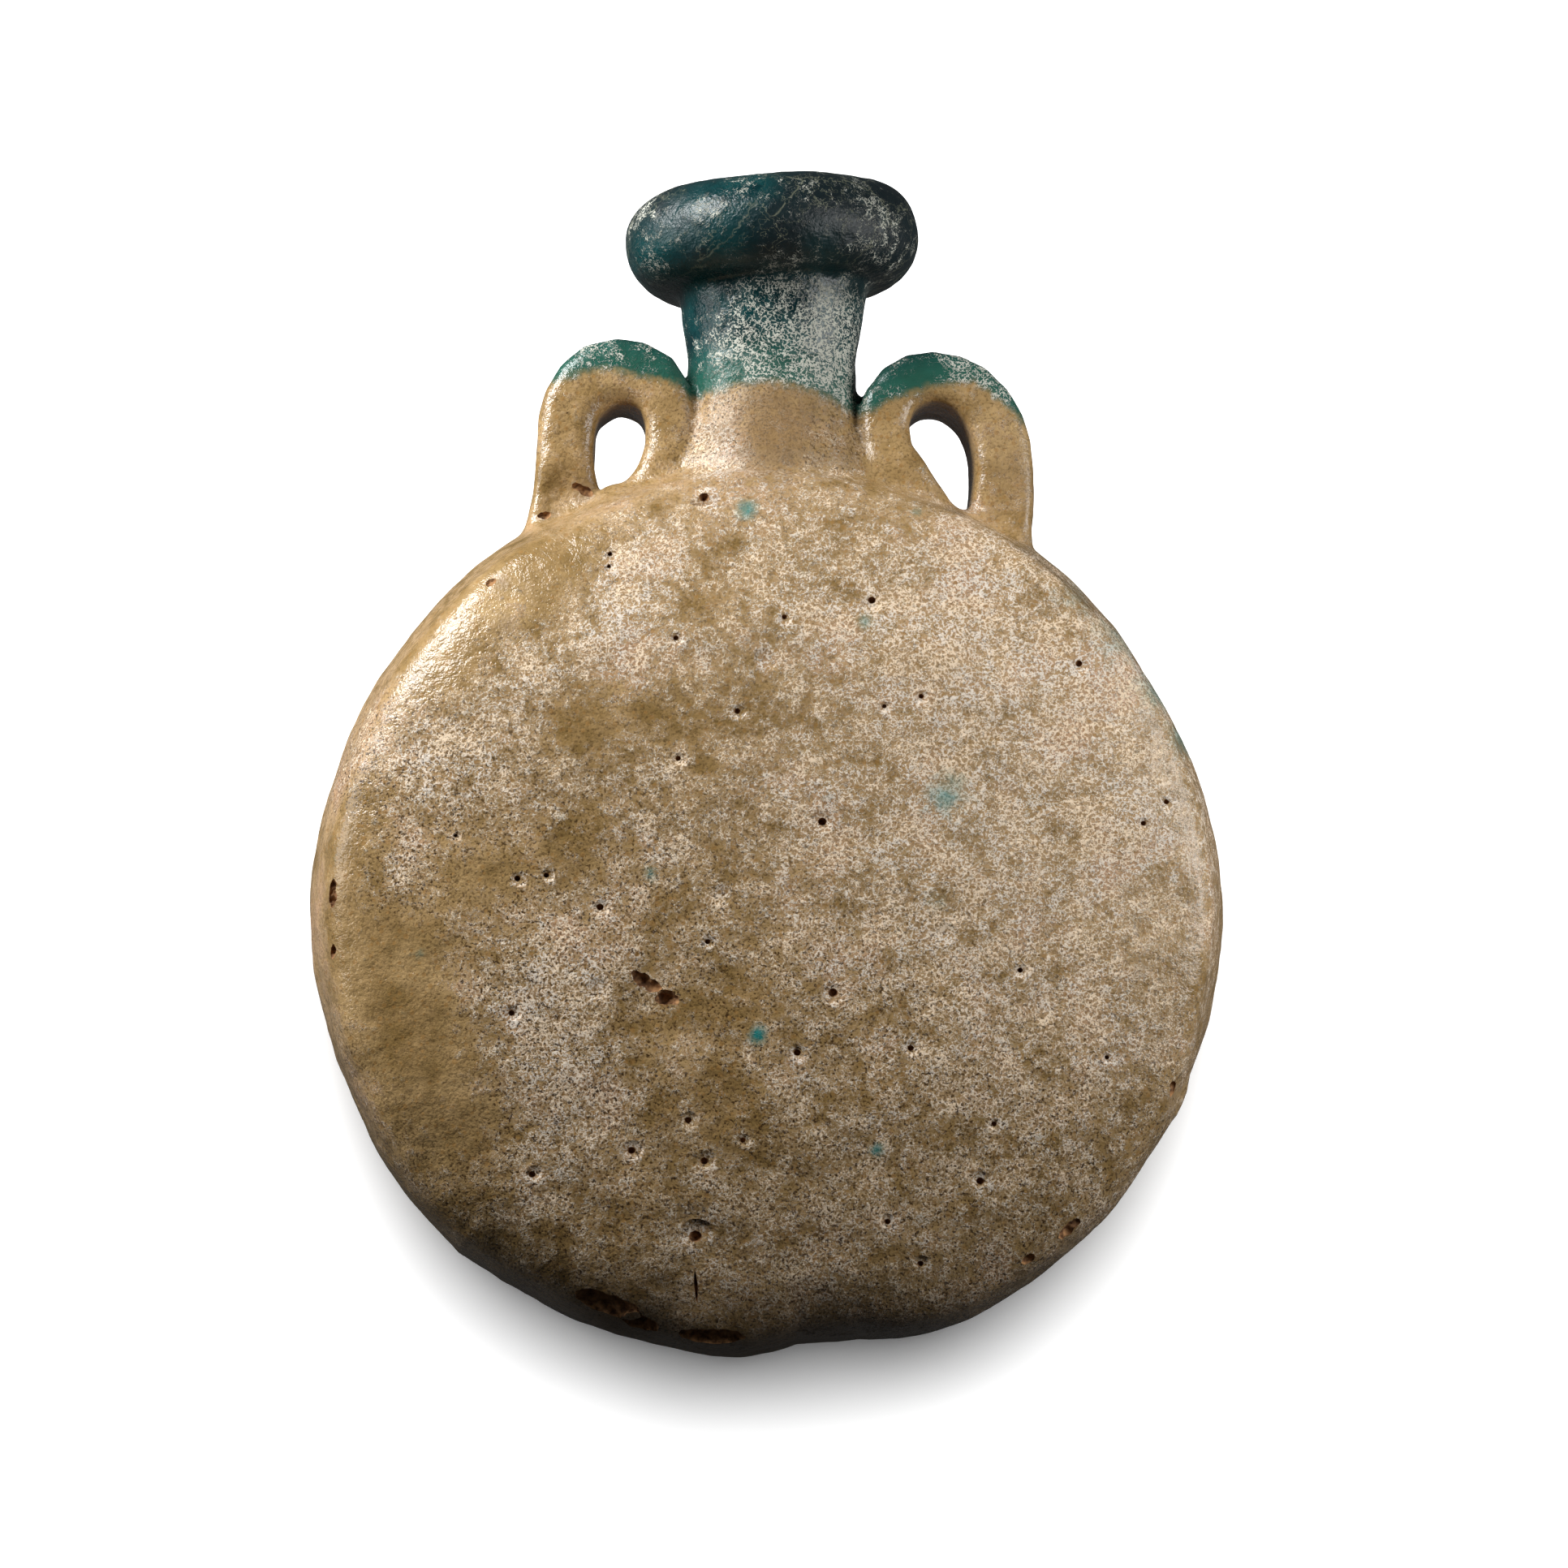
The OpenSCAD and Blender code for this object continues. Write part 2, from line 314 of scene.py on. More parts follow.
# %% [markdown]
# ## A hand-made outline
# The dishes left the wheel round, but handling and sagging in the kiln pressed the rim in at the lowest
# point and left small lumps. OUTLINE says how far the rim stands in or out, in millimetres, at an angle
# round the face counted from the right. The hollow follows the rim, so the wall keeps its thickness.

# %% Press the rim out of round
OUTLINE = [
    (-180, 0.5), (-172, 0.4), (-166, -0.1), (-161, 0), (-157, -0.6), (-150, -0.3), (-138, 0),
    (-132, 0.3), (-128, -0.6), (-122, -1.2), (-114, -1.5), (-109, -1.8), (-103, -2.3), (-97, -2),
    (-93, -2.5), (-89, -3.7), (-86, -5), (-82, -4.7), (-78, -4.2), (-73, -2.5), (-69, -1.3), (-64, -0.5),
    (-58, -0.5), (-47, -0.2), (-33, -0.3), (-27, 0.3), (-24.5, -0.3), (-19, 0), (-5, 0.5), (9, 0.35),
    (23, -0.3), (37, -0.8), (50, 0), (130, 0), (150, 0.1), (166, 0.3), (180, 0.5),
]
SLOPE_ARC = (-3, -57, 108)


def press_by_hand(points):
    out = points.copy()
    r = np.hypot(points[:, 0], points[:, 1])
    angle = np.degrees(np.arctan2(points[:, 1], points[:, 0]))
    table = np.array(OUTLINE)
    push = np.interp(angle, table[:, 0], table[:, 1])
    low = smooth_step(0.1, 0.7, -points[:, 1] / np.maximum(r, 1))
    push += 2.2 * low * smooth_step(46, 60, points[:, 2])
    side = push * smooth_step(66, 86, r) / np.maximum(r, 1)
    out[:, :2] += points[:, :2] * side[:, None]
    past_arc = np.hypot(points[:, 0] - SLOPE_ARC[0], points[:, 1] - SLOPE_ARC[1]) - SLOPE_ARC[2]
    falls = 0.135 * np.maximum(past_arc, 0) * smooth_step(-4, 10, past_arc)
    falls *= (1 - smooth_step(80, 92, points[:, 1])) * (1 - 0.8 * smooth_step(38, 62, np.abs(points[:, 0])))
    falls += 2.4 * smooth_step(30, 88, -points[:, 1]) ** 1.3
    low_rim = 4.0 * low
    high_rim = 2.6 * smooth_step(0.78, 0.95, points[:, 1] / np.maximum(r, 1))
    left_rim = 1.8 * smooth_step(0.4, 0.8, -points[:, 0] / np.maximum(r, 1))
    left_rim *= smooth_step(-40, 0, points[:, 1])
    falls += (low_rim + high_rim + left_rim) * smooth_step(68, 88, r) ** 2
    out[:, 2] -= falls * smooth_step(40, 62, points[:, 2])
    return out


for form in (blank, hollow):
    set_points_mm(form, press_by_hand(points_mm(form)))
print("outline moves from", min(push for _, push in OUTLINE), "to", max(push for _, push in OUTLINE), "mm")

# %% [markdown]
# ## Dents, waves and grit
# Thumb marks at the feet of the handles and hollows in the face are wide and shallow, so they are moved
# in code with a soft brush. The uneven hand of the thrower comes from Displace modifiers with cloud
# textures: long waves first, then the short ones of a surface smoothed with wet fingers.

# %% Brush in the dents
DENTS = [
    (-42, 83, 47, 6, 1.3), (47, 79, 47, 6.5, 1.5), (-21, -19, 71, 9, 0.5), (8, 51, 70, 14, 0.4),
    (-33, -50, 70, 16, 0.4), (30, -60, 69, 15, 0.5), (-55, 20, 70, 12, 0.35), (45, 5, 70, 20, 0.4),
    (-14, -64, 69, 7, 0.5), (-20, 133, 50, 7, 0.5), (12, 132, 60, 8, 0.5), (60, -35, 2, 16, 0.3),
    (-3, 95, 57, 7, 0.6), (11, 92, 59, 6, 0.5), (1, 111, 20, 8, 0.4), (-60, -55, 40, 10, 0.8), (-80, -42, 52, 5, 0.6),
]
BUMPS = [
    (-13, -84, 62, 9, 1.0), (-22, 134, 48, 7, 0.8), (-8, 87, 62, 8, 0.6), (-24, 141, 36, 8, 0.6),
    (51.5, -25, 70, 2.2, 0.35), (82, -37, 52, 4, 1.2), (-3, 50, 70, 4, 0.3), (68, 55, 50, 9, 0.5),
    (-31, 83, 46, 5, 1.5),
]


def brush(piece, marks, sign):
    points = points_mm(piece)
    normals = points_mm(piece, "normal")
    for x, y, z, reach, depth in marks:
        away = ((points - (x, y, z)) ** 2).sum(1) / reach ** 2
        points += normals * (sign * depth * np.exp(-away * 1.5))[:, None]
    set_points_mm(piece, points)


brush(blank, DENTS, -1)
brush(blank, BUMPS, 1)


# %% Ripple the surface
def ripple(piece, size, height, group):
    cloud = bpy.data.textures.new(f"clouds_{size}", "CLOUDS")
    cloud.noise_scale = size * MM
    cloud.noise_depth = 1
    finish_modifier(
        piece, "DISPLACE", texture=cloud, strength=height * MM, mid_level=0.5,
        texture_coords="LOCAL", vertex_group=group,
    )
    bpy.data.textures.remove(cloud)


ripple(blank, 26, 1.1, "off_the_rest")
ripple(blank, 9, 0.45, "off_the_rest")
ripple(blank, 3.2, 0.18, "off_the_rest")
print("blank box in mm:", points_mm(blank).min(0).round(1), points_mm(blank).max(0).round(1))

# %% [markdown]
# ## Hollowing, pits and chips
# Booleans need closed forms on both sides, and these are. Pits are gas bubbles that burst while the glaze
# was soft. Chips are later knocks that took the glaze off and left the reddish body showing, so their
# cutters are rough, and the faces they leave get the bare clay as a second material.

# %% Hollow the blank
def cut(piece, cutter, operation="DIFFERENCE"):
    return finish_modifier(piece, "BOOLEAN", object=cutter, operation=operation, solver="MANIFOLD")


cut(hollow, bore, "UNION")
cut(blank, hollow)
bpy.data.objects.remove(hollow)
bpy.data.objects.remove(bore)
print("hollowed blank has", len(blank.data.polygons), "faces")

# %% Places of the pits, on the skin, with radius and depth
PITS = [
    (-13.0, 79.6, 1.3, 1.0), (-31.3, 67.6, 0.6, 0.9), (-31.5, 65.0, 0.5, 0.8), (19.4, 58.2, 1.0, 1.0),
    (-18.5, 50.3, 0.7, 0.8), (9.6, 14.7, 1.1, 1.4), (-32.8, -1.8, 0.9, 1.2), (-48.6, 3.7, 0.8, 1.2),
    (-43.1, 4.3, 0.7, 1.0), (-49.5, -22.0, 0.8, 1.0), (11.6, -18.1, 1.2, 0.9), (4.8, -29.5, 0.9, 1.2),
    (26.4, -28.6, 0.8, 1.0), (-15.9, -42.3, 0.9, 1.0), (-5.5, -46.1, 0.7, 0.8), (-12.8, -50.0, 1.0, 1.1),
    (-26.6, -48.0, 1.0, 0.9), (-45.5, -52.5, 0.9, 1.0), (-14.4, -64.2, 1.6, 1.0), (39.8, -53.7, 1.0, 1.2),
    (71.7, 15.0, 0.7, 0.9), (76.3, 19.3, 0.7, 0.9), (59.6, 46.2, 0.9, 0.8), (-6.7, 36.0, 0.8, 0.8),
    (21.6, 37.1, 0.6, 0.7), (28.7, 39.1, 0.7, 0.7), (47.5, -13.6, 0.7, 0.9), (-12.3, -8.4, 0.7, 1.0),
    (42.4, -42.9, 0.7, 0.8), (22.1, -61.4, 0.8, 0.8), (28.5, -69.3, 0.8, 0.7), (-18.0, 26.8, 0.7, 0.8),
    (64.2, -30.1, 0.6, 0.8), (-60.5, 12.0, 0.5, 0.7), (2.4, 54.6, 0.7, 0.6),
]
SCARS = [(-33.5, -17.5, 2.5), (-9.8, 0.6, 2.3), (33.2, -6.6, 2.4), (-1.1, 46.5, 2.2)]
BACK_PITS = [
    (-30, 25, 1.2, 1.2), (22, 41, 0.9, 1.0), (41, -8, 1.1, 1.2), (-12, -33, 1.4, 1.0), (5, 8, 0.8, 1.0),
    (-48, -20, 0.9, 1.1), (30, -47, 1.0, 1.1), (-22, 55, 0.7, 0.9), (55, 22, 0.8, 0.9),
]


# %% Knock out the pits and chips
def skin_z(x, y, side):
    ok, hit, normal, face = blank.ray_cast(
        Vector((x, y, 110 if side > 0 else -40)) * MM, Vector((0, 0, -side))
    )
    return hit.z / MM if ok else 0


def lump(place, size, turn=0, rough=0.0, detail=2):
    bpy.ops.object.select_all(action="DESELECT")
    bpy.ops.mesh.primitive_ico_sphere_add(
        subdivisions=detail, radius=MM, location=Vector(place) * MM, rotation=(0, 0, math.radians(turn))
    )
    knock = bpy.context.object
    knock.scale = size
    bpy.ops.object.transform_apply(location=True, rotation=True, scale=True)
    if rough:
        cloud = bpy.data.textures.new("knock", "CLOUDS")
        cloud.noise_scale = 1.6 * MM
        finish_modifier(
            knock, "DISPLACE", texture=cloud, strength=rough * MM, mid_level=0.5, texture_coords="LOCAL"
        )
        bpy.data.textures.remove(cloud)
    return knock


CHIPS = [
    (-24.0, -16.2, 0.3, 3.3, 1.4, 1.6, -35), (-20.0, -19.2, 0.3, 2.5, 1.5, 1.7, -10),
    (-31.2, -77.4, 0.3, 6.8, 4.0, 2.2, -14),
    (-24.8, -80.6, 0, 3.6, 2.6, 2.4, -35), (-11.0, -83.4, 0, 7.0, 2.2, 2.6, -4),
    (57.5, -62.8, 0.5, 2.6, 1.4, 1.4, 48), (49.6, -68.6, 0.4, 1.5, 1.0, 1.2, 40),
    (77.6, -36.0, 0.4, 0.9, 1.7, 1.2, 20), (-84.2, 1.5, 0, 0.9, 2.8, 1.3, 0),
    (-84.0, -9.7, 0, 0.7, 1.3, 1.2, 0), (-54.5, 62.0, 0.3, 1.3, 0.9, 0.9, 30),
    (-36.8, 83.6, 0.2, 2.3, 1.0, 1.2, -25), (-44.6, 78.4, 0.2, 1.4, 0.9, 1.0, 0),
    (-14.2, -74.4, 0.2, 7.6, 0.32, 1.0, -86),
]
EDGE_CHIPS = [
    (-84.4, -33.4, 44, 1.8, 2.6, 3.6, 20),
    (86.5, -33, 50, 1.5, 3.0, 3.0, 15), (-40, 99, 46, 0.8, 1.4, 1.0, 0),
]


# %% Press the bowls and knock out the rest
def joined(lumps, name):
    only(lumps[0])
    for other in lumps[1:]:
        other.select_set(True)
    bpy.ops.object.join()
    return named(name)


BOWL_RISE = 0.55
bowls = []
for x, y, radius in [(x, y, 1.9 * radius) for x, y, radius, depth in PITS] + SCARS:
    bowls.append(lump((x + 0.2, y - 0.2, skin_z(x, y, 1) + BOWL_RISE), (1.3 * radius, 1.2 * radius, 0.9), detail=3))
bowls = joined(bowls, "bowls")
cut(blank, bowls)
bpy.data.objects.remove(bowls)
knocks = []
for x, y, radius, depth in PITS:
    knocks.append(lump((x, y, skin_z(x, y, 1)), (radius * 0.8, radius * 0.7, depth * 1.2)))
for x, y, radius, depth in BACK_PITS:
    knocks.append(lump((x, y, 0), (radius, radius * 0.9, depth)))
for x, y, proud, a, b, c, turn in CHIPS:
    knocks.append(lump((x, y, skin_z(x, y, 1) + proud), (a, b, c), turn, rough=min(1.8, b), detail=4))
for x, y, z, a, b, c, turn in EDGE_CHIPS:
    knocks.append(lump((x, y, z), (a, b, c), turn, rough=1.0, detail=4))
knocks = joined(knocks, "knocks")
for piece in (blank, knocks):
    piece.data.materials.append(bpy.data.materials.new("skin_here"))
    piece.data.materials.append(bpy.data.materials.new("clay_here"))
knocks.data.polygons.foreach_set("material_index", [1] * len(knocks.data.polygons))
cut(blank, knocks)
bpy.data.objects.remove(knocks)
print("pits and chips:", len(PITS) + len(BACK_PITS) + len(CHIPS) + len(EDGE_CHIPS))

# %% [markdown]
# ## Parting the pieces again
# The potter's pieces are cut from the finished blank where their clay meets: the ring above a plane just
# under its roll, the straps above their feet, the neck with the spigot that goes down through the wall,
# the luting coil as a V-shaped band round the girth, and last the two dishes. Cut this way, the pieces
# share their edges, so the glaze runs on from one to the next without a step.

# %% The zones of ring, straps and neck, as prisms over their front views
def prism(name, corners, depth=120):
    bpy.ops.object.select_all(action="DESELECT")
    bpy.ops.mesh.primitive_circle_add(vertices=len(corners), radius=MM, fill_type="NGON")
    zone = named(name)
    set_points_mm(zone, np.array([(x, y, GIRTH_Z - depth / 2) for x, y in corners], float))
    bpy.ops.object.mode_set(mode="EDIT")
    bpy.ops.mesh.select_all(action="SELECT")
    bpy.ops.mesh.extrude_region_move(TRANSFORM_OT_translate={"value": (0, 0, depth * MM)})
    bpy.ops.mesh.select_all(action="SELECT")
    bpy.ops.mesh.normals_make_consistent(inside=False)
    bpy.ops.object.mode_set(mode="OBJECT")
    return zone


ring_zone = prism("ring_zone", [(-60, 123.2), (62, 130.2), (62, 170), (-60, 170)])
left_zone = prism("left_zone", [(-80, 70), (-15.2, 92.6), (-16.4, 108), (-24, 121), (-80, 121)])
right_zone = prism("right_zone", [(80, 68.6), (80, 121), (27.5, 121), (19.4, 105), (19.4, 90.2)])
neck_zone = turned_form("neck_zone", [(15, 80), (15, 90.3), (45, 90.3), (45, 150)], (NECK_X, 0, GIRTH_Z), "Y")


# %% Part them from the blank
def part(source, zone, name):
    piece = cut(copy_of(source, name), zone, "INTERSECT")
    cut(source, zone)
    bpy.data.objects.remove(zone)
    print(name, "has", len(piece.data.polygons), "faces")
    return piece


for zone in (ring_zone, left_zone, right_zone):
    cut(neck_zone, zone, "UNION")
neck = part(blank, neck_zone, "thrown_neck")
mouth_ring = part(neck, ring_zone, "rolled_mouth_ring")
handle_left = part(neck, left_zone, "left_strap_handle")
handle_right = part(neck, right_zone, "right_strap_handle")

# %% The luting coil: a triangle spun round the girth
bpy.ops.object.select_all(action="DESELECT")
bpy.ops.mesh.primitive_circle_add(
    vertices=3, radius=6.6 * MM, fill_type="NOTHING",
    location=(92.8 * MM, 0, GIRTH_Z * MM), rotation=(math.pi / 2, -math.pi / 2, 0),
)
coil_zone = named("coil_zone")
bpy.ops.object.transform_apply(location=True, rotation=True, scale=True)
bpy.ops.object.mode_set(mode="EDIT")
bpy.ops.mesh.select_all(action="SELECT")
bpy.ops.mesh.spin(steps=144, angle=2 * math.pi, center=(0, 0, GIRTH_Z * MM), axis=(0, 0, 1))
bpy.ops.mesh.select_all(action="SELECT")
bpy.ops.mesh.remove_doubles(threshold=0.01 * MM)
bpy.ops.mesh.normals_make_consistent(inside=False)
bpy.ops.object.mode_set(mode="OBJECT")
set_points_mm(coil_zone, press_by_hand(points_mm(coil_zone)))
print("coil zone in mm:", points_mm(coil_zone).min(0).round(1), points_mm(coil_zone).max(0).round(1))
coil = part(blank, coil_zone, "luting_coil")


# %% The two dishes, parted at the girth
def half(source, name, keep_front):
    piece = copy_of(source, name)
    only(piece)
    bpy.ops.object.mode_set(mode="EDIT")
    bpy.ops.mesh.select_all(action="SELECT")
    bpy.ops.mesh.bisect(
        plane_co=(0, 0, GIRTH_Z * MM), plane_no=(0, 0, 1), use_fill=True,
        clear_inner=keep_front, clear_outer=not keep_front,
    )
    bpy.ops.object.mode_set(mode="OBJECT")
    print(name, "has", len(piece.data.polygons), "faces")
    return piece


front_dish = half(blank, "front_dish", True)
back_dish = half(blank, "back_dish", False)
bpy.data.objects.remove(blank)

PIECES = {
    "front_shell": front_dish, "back_shell": back_dish, "seam_coil": coil, "neck": neck,
    "mouth_ring": mouth_ring, "handle_left": handle_left, "handle_right": handle_right,
}

# %% [markdown]
# ## Where the glaze and the crust lie
# The mouth was dipped in a copper glaze, so ring, neck and the tops of the straps are teal, above an
# uneven line. Below it a lead glaze fired buff. Burial then laid a pale, gritty crust over parts of the
# face. The bottom wall and the neck just under the ring are darkened with painted shade. The materials
# read this from attributes stored on each point, so a pattern stays on its clay.

# %% The line of the dip, and the blooms of crust on the face
DIP_LINE = [
    (-60, 104), (-43.1, 105.4), (-39.1, 106.8), (-32.7, 108), (-23.8, 106.4), (-17.3, 104.8),
    (-15.7, 102.7), (-10.9, 103.6), (-0.5, 105.1), (8.4, 103.2), (14.8, 101), (18.4, 99.7),
    (21.6, 100.1), (23.2, 101.8), (29.7, 104.3), (34.6, 105.4), (41.1, 106.1), (45.9, 102.8),
    (50, 98.7), (56, 96),
]
BLOOMS = [
    (-31.4, 52.8, 10, 0.5), (-48.5, 43.3, 9, 0.5), (-64, 27.6, 11, 0.5), (-45.2, 21.2, 8, 0.25),
    (-72.6, 3.4, 7, 0.45), (-46, -19.5, 14, 0.4), (-38.7, -34.6, 14, 0.25), (46.6, 20, 34, 0.3),
    (30.8, -14.5, 20, 0.15), (38.5, -37.6, 16, 0.12), (7.7, 64.2, 14, 0.3), (-23.7, 66, 9, 0.3),
    (39.2, 61.4, 14, 0.35), (62.9, 49, 14, 0.25), (10, 14, 14, 0.15), (-11, 91, 6, 0.8),
    (72, 18, 13, 0.25), (-44.8, -51.5, 10, 0.15), (-15.5, -65, 9, 0.2), (7.6, -69, 12, 0.15),
    (66.8, -21.9, 14, 0.15), (54, -52.9, 14, 0.1), (-20, 16.5, 10, 0.2), (28, 40, 18, 0.2),
    (-77, -10, 15, -0.5), (-66, -28, 16, -0.35), (-54.4, 4, 8, -0.3), (-18.7, -27, 11, -0.2),
    (-60.3, -42, 14, -0.25), (-48.8, 66, 14, -0.6), (-10.9, -42.3, 10, -0.12), (-84, 10, 9, -0.5),
    (-61, 45, 7, -0.3), (-38.9, 8.6, 8, -0.15), (-37, 33, 8, -0.25), (-26, -62, 9, -0.1),
    (-70, 50, 14, -0.4), (30, -46, 9, -0.1), (-26, 38, 8, -0.1), (-12, 22, 8, -0.05),
    (17, -42, 12, 0.14), (-4, -36, 10, 0.08), (-43, 25, 6, -0.1), (6, 98, 9, -0.2),
]
COPPER_SPOTS = [
    (-2.7, -26.3, 1.7, 1.0), (19.9, -47.9, 1.2, 0.8), (33.4, 20, 4.2, 0.55), (-4.7, 76.8, 2.2, 0.75),
    (-23.1, 4.8, 1.5, 0.5), (-67.1, -10.9, 1.3, 0.4), (17.7, 53.7, 1.5, 0.55), (28.8, 76.8, 1.3, 0.45),
    (32.4, -0.5, 3.0, 0.25), (68, 52, 6, 0.35), (76, 42, 5, 0.5), (81, 33, 4, 0.5), (60, 60, 5, 0.25),
]

SOIL = [
    (2, 98, 10, 1.1), (0, 91, 8, 0.9), (48, 92, 6, 0.5), (50, 84, 6, 0.4), (-14, 93, 5, 0.4), (16, 92, 5, 0.4), (-8, -88, 26, 0.6), (-30, -80, 8, 0.6),
    (-52.3, 61.6, 1.8, 0.8), (-51, 53.5, 2.2, 0.7), (-47.5, 60.6, 1.2, 0.6), (-36.5, 83.1, 2.5, 0.9),
    (-43.1, 78.4, 2.0, 0.8), (70.8, -13.3, 2.0, 0.5), (48.3, -71.3, 2.0, 0.8), (57.4, -64.4, 3.0, 0.7),
    (77.1, -37.3, 2.5, 0.7), (-84.5, 0.1, 2.2, 0.9), (-84.2, -9.7, 1.6, 0.8), (-5, 51, 4, 0.4),
    (-31, 100, 4, 0.4), (40, 97, 4, 0.4),
]

FLAKE_PATCHES = [
    (9, 112, 8, 0.4), (13, 120, 6, 0.4), (15, 107, 6, 0.3), (-6, 113, 5, 0.4), (0, 106, 5, 0.3),
    (42, 110, 9, 0.3), (-35, 111, 6, 0.2), (-27, 141, 5, 0.5), (-13, 137, 4, 0.4), (22, 135, 8, 0.4),
    (-22, 128, 5, 0.2), (8, 143, 6, 0.2), (-6, 141, 4, 0.3), (-17, 108, 4, -0.2),
    (-17, 121, 5, -0.25), (-14, 128, 5, -0.2), (-6, 121, 6, 0.15), (3, 124, 5, 0.3),
    (-36, 108, 6, -0.1), (30, 108, 6, -0.15),
]
TEAL_GAPS = [(-24, 131, 7, 0.8), (-12, 139, 7, 0.8), (-3, 143, 6, 0.7), (10, 130, 5, 0.4), (-8, 129, 5, 0.5)]


def store(piece, name, values):
    layer = piece.data.attributes.get(name) or piece.data.attributes.new(name, "FLOAT", "POINT")
    layer.data.foreach_set("value", np.asarray(values, np.float32))


def blooms_at(points, places):
    total = np.zeros(len(points))
    for x, y, reach, amount in places:
        total += amount * np.exp(-((points[:, 0] - x) ** 2 + (points[:, 1] - y) ** 2) / reach ** 2)
    return total


def paint(piece):
    points = points_mm(piece)
    x, y, z = points.T
    on_face = smooth_step(20, 58, z)
    line = np.array(DIP_LINE)
    off_neck = np.abs(x - 2) > 17
    blooms = BLOOMS + [(*scar, 0.4) for scar in SCARS]
    crust = 0.39 + 1.35 * blooms_at(points, blooms) * on_face
    crust -= 0.35 * (1 - smooth_step(44, 62, z)) * (y < 80) + 0.45 * smooth_step(74, 90, y) * off_neck
    # each pit gets a pale ring of crust, set 0.4 mm to the lower right, the side of the pit the key lamp lights:
    # partly a real lip, partly a painted highlight
    for at_x, at_y, radius, depth in PITS:
        away = np.hypot(x - at_x - 0.4, y - at_y + 0.4) - 1.5 * radius
        crust += 0.55 * np.exp(-(away / 0.6) ** 2) * on_face
    copper = np.zeros(len(points))
    for at_x, at_y, reach, amount in COPPER_SPOTS:
        away = np.hypot(x - at_x, y - at_y) / reach
        copper = np.maximum(copper, amount * np.exp(-away ** 2) * on_face)
    ring = smooth_step(123, 130, y)
    flakes = 0.4 - 0.28 * ring + 1.4 * blooms_at(points, FLAKE_PATCHES) * smooth_step(30, 45, z)
    store(piece, "teal_mm", y - np.interp(x, line[:, 0], line[:, 1]))
    store(piece, "crust", crust)
    store(piece, "copper", copper)
    store(piece, "flakes", flakes)
    store(piece, "patina", ring - ring * blooms_at(points, TEAL_GAPS))
    store(piece, "soil", blooms_at(points, SOIL))
    wall = 1 - smooth_step(56, 66, z)
    # the tan film on the walls is given more on the left wall and none on the bottom wall: partly a real film, partly
    # painted light on the lit left wall and painted shade on the bottom
    beige = wall * smooth_step(-60, -20, y) * (1 - 0.8 * smooth_step(70, 92, y))
    store(piece, "beige", beige * (1.1 - 0.8 * smooth_step(-60, 40, x)))
    # painted shadow: the neck just under the mouth ring is darkened, as where the ring shades it
    under_ring = smooth_step(131, 126, y) * smooth_step(119, 125, y)
    # painted shade: the bottom wall, which faces away from the lamps, and the neck under the ring are darkened
    store(piece, "painted_shade", 0.5 * wall * smooth_step(50, 84, -y) + 0.5 * under_ring)
    store(piece, "dirt", (0.6 + 0.65 * smooth_step(-45, 30, -y - 0.5 * x) + 0.5 * smooth_step(80, 92, y)) * (0.35 + 0.65 * smooth_step(-0.3, 0.4, crust)))


for piece in PIECES.values():
    paint(piece)
print("painted", len(PIECES), "pieces")

# %% [markdown]
# ## Node helper and colours
# Colours are written as sRGB hex, as a picture editor shows them, and one function turns them linear for
# the shader. One small function adds a node with its inputs and settings and hands back an output.

# %% Colour and node helpers
PER_MM = 1 / MM


def linear(hex_colour):
    channels = [int(hex_colour[i:i + 2], 16) / 255 for i in (0, 2, 4)]
    return tuple(c / 12.92 if c <= 0.04045 else ((c + 0.055) / 1.055) ** 2.4 for c in channels) + (1,)


def add(tree, kind, inputs, out=0, **settings):
    made = tree.nodes.new("ShaderNode" + kind)
    for key, value in settings.items():
        setattr(made, key, value)
    for key, value in inputs.items():
        if isinstance(value, bpy.types.NodeSocket):
            tree.links.new(value, made.inputs[key])
        else:
            made.inputs[key].default_value = value
    return made.outputs[out] if made.outputs else made


def empty_material(name):
    material = bpy.data.materials.new(name)
    material.use_nodes = True
    material.node_tree.nodes.clear()
    return material


# %% [markdown]
# ## What every layer of the glaze reads
# The threads of the crust are about 0.3 mm wide and 0.6 mm apart, they gather in clumps of 3 mm, and
# those thin out over 15 mm. Each size is one noise on Object coordinates. These are metres here, so a
# noise with features of that many millimetres has the scale 1000 / size. The finest noise is 0.95 mm,
# a little coarser than the real threads, so that they still show in a picture of the whole flask.

# %% Fields shared by the layers
FIELD_SIZES = {"grain": (0.95, 2), "pore": (0.6, 2), "clump": (2.6, 3), "drift": (7, 4), "patch": (17, 2)}
PAINTED = ("crust", "teal_mm", "copper", "flakes", "patina", "soil", "beige", "painted_shade", "dirt")


def glaze_fields(tree):
    place = add(tree, "TexCoord", {}, "Object")
    fields = {"place": place}
    for step, (key, (size, detail)) in enumerate(FIELD_SIZES.items()):
        shifted = add(tree, "VectorMath", {0: place, 1: (step * 0.31, step * 0.17, 0)}, operation="ADD")
        fields[key] = add(
            tree, "TexNoise",
            {"Vector": shifted, "Scale": PER_MM / size, "Detail": detail, "Roughness": 0.65}, "Fac",
        )
    for key in PAINTED:
        fields[key] = add(tree, "Attribute", {}, "Fac", attribute_name=key)
    off_thread = add(tree, "Math", {0: fields["grain"], 1: 0.5}, operation="SUBTRACT")
    fields["off_thread"] = add(tree, "Math", {0: off_thread}, operation="ABSOLUTE")
    return fields


# %% [markdown]
# ## A crust of fine threads
# Seen close, the crust is a net of curly pale threads with dark pores in its meshes. A noise has such
# threads in it: the lines where it passes through its middle value. So "off_thread" is how far the finest
# noise is from 0.5, and the crust shows where that is small. Cover isn't a mix factor: it widens the
# threads, until only the pores stay open.

